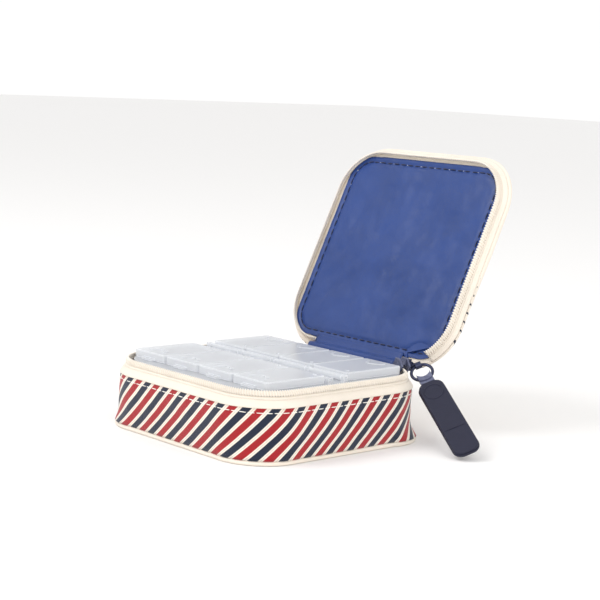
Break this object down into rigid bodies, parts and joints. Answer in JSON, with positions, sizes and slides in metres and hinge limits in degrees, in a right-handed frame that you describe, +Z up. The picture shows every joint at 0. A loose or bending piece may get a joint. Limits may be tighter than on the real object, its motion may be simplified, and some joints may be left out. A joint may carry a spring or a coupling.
{
  "type": "travel pill organizer",
  "caption": "Square zip-round fabric case standing open, with a lift-out tray of lidded pill cells and a zip slider with ring and rubber pull tab.",
  "frame": {"origin": "centre of the case's underside, on the surface that it rests on", "axes": "+Z up; +Y towards the hinge side; +X to the side where the zip slider is parked"},
  "size_m": [0.1457, 0.1576, 0.1237],
  "materials": {
    "striped_cloth": "woven cotton with printed diagonal stripes",
    "lid_cloth": "woven cotton, cream with slim navy pinstripes",
    "blue_lining": "smooth royal blue nylon",
    "cream_tape": "woven zip tape and binding",
    "coil": "moulded nylon coil",
    "board": "stiffener board",
    "foam": "soft foam",
    "frosted_plastic": "frosted translucent moulding",
    "dark_metal": "dark navy enamelled metal",
    "navy_rubber": "matt moulded rubber"
  },
  "bodies": {
    "base": {"bottom_panel": "striped_cloth", "bottom_board": "board", "base_wall": "striped_cloth", "base_piping": "cream_tape", "base_lining": "blue_lining", "base_zip_tape": "cream_tape", "base_zip_coil": "coil", "base_hinge_flap": "striped_cloth", "base_hinge_lining": "blue_lining"},
    "lid": {"lid_lining": "blue_lining", "lid_board": "board", "lid_foam": "foam", "lid_cover": "lid_cloth", "lid_piping": "cream_tape", "lid_zip_tape": "cream_tape", "lid_zip_coil": "coil", "lid_hinge_flap": "lid_cloth", "lid_hinge_lining": "blue_lining"},
    "tray": {"tray": "frosted_plastic"},
    "slider": {"zip_slider": "dark_metal", "slider_bridge": "dark_metal"},
    "bail": {"puller_bail": "dark_metal"},
    "ring": {"pull_ring": "dark_metal"},
    "tab": {"tab_eyelet": "navy_rubber", "pull_tab": "navy_rubber"},
    "pill_lid_front_1": {"pill_lid_front_1": "frosted_plastic"},
    "pill_lid_front_2": {"pill_lid_front_2": "frosted_plastic"},
    "pill_lid_front_3": {"pill_lid_front_3": "frosted_plastic"},
    "pill_lid_front_4": {"pill_lid_front_4": "frosted_plastic"},
    "pill_lid_back_1": {"pill_lid_back_1": "frosted_plastic"},
    "pill_lid_back_2": {"pill_lid_back_2": "frosted_plastic"},
    "pill_lid_back_3": {"pill_lid_back_3": "frosted_plastic"},
    "pill_lid_back_4": {"pill_lid_back_4": "frosted_plastic"}
  },
  "joints": [
    {"name": "lid_hinge", "type": "hinge", "parent": "base", "child": "lid", "pos_m": [0, 0.0526, 0.031], "axis": [-1, 0, 0], "range_deg": [-115.4, 50]},
    {"name": "tray_lift", "type": "slide", "parent": "base", "child": "tray", "axis": [0, 0, 1], "range_m": [0, 0.035]},
    {"name": "pill_lid_front_1_hinge", "type": "hinge", "parent": "tray", "child": "pill_lid_front_1", "pos_m": [-0.03405, -0.0044, 0.0314], "axis": [-1, 0, 0], "range_deg": [0, 90]},
    {"name": "pill_lid_front_2_hinge", "type": "hinge", "parent": "tray", "child": "pill_lid_front_2", "pos_m": [-0.01135, -0.0044, 0.0314], "axis": [-1, 0, 0], "range_deg": [0, 90]},
    {"name": "pill_lid_front_3_hinge", "type": "hinge", "parent": "tray", "child": "pill_lid_front_3", "pos_m": [0.01135, -0.0044, 0.0314], "axis": [-1, 0, 0], "range_deg": [0, 90]},
    {"name": "pill_lid_front_4_hinge", "type": "hinge", "parent": "tray", "child": "pill_lid_front_4", "pos_m": [0.03405, -0.0044, 0.0314], "axis": [-1, 0, 0], "range_deg": [0, 90]},
    {"name": "pill_lid_back_1_hinge", "type": "hinge", "parent": "tray", "child": "pill_lid_back_1", "pos_m": [-0.03405, 0.0044, 0.0314], "axis": [1, 0, 0], "range_deg": [0, 90]},
    {"name": "pill_lid_back_2_hinge", "type": "hinge", "parent": "tray", "child": "pill_lid_back_2", "pos_m": [-0.01135, 0.0044, 0.0314], "axis": [1, 0, 0], "range_deg": [0, 90]},
    {"name": "pill_lid_back_3_hinge", "type": "hinge", "parent": "tray", "child": "pill_lid_back_3", "pos_m": [0.01135, 0.0044, 0.0314], "axis": [1, 0, 0], "range_deg": [0, 90]},
    {"name": "pill_lid_back_4_hinge", "type": "hinge", "parent": "tray", "child": "pill_lid_back_4", "pos_m": [0.03405, 0.0044, 0.0314], "axis": [1, 0, 0], "range_deg": [0, 90]},
    {"name": "slider_turn", "type": "hinge", "parent": "base", "child": "slider", "pos_m": [0.03, 0.0285, 0.0318], "axis": [0, 0, -1], "range_deg": [0, 40]},
    {"name": "bail_swing", "type": "hinge", "parent": "slider", "child": "bail", "pos_m": [0.03845, 0.05171, 0.0318], "axis": [0, 0, 1], "range_deg": [0, 12]},
    {"name": "ring_swing", "type": "hinge", "parent": "bail", "child": "ring", "pos_m": [0.04155, 0.05401, 0.0318], "axis": [-0.4998, -0.772, -0.3927], "range_deg": [0, 15]},
    {"name": "tab_swing", "type": "hinge", "parent": "ring", "child": "tab", "pos_m": [0.04552, 0.05261, 0.0295], "axis": [0.2563, -0.565, 0.7843], "range_deg": [0, 40]}
  ]
}
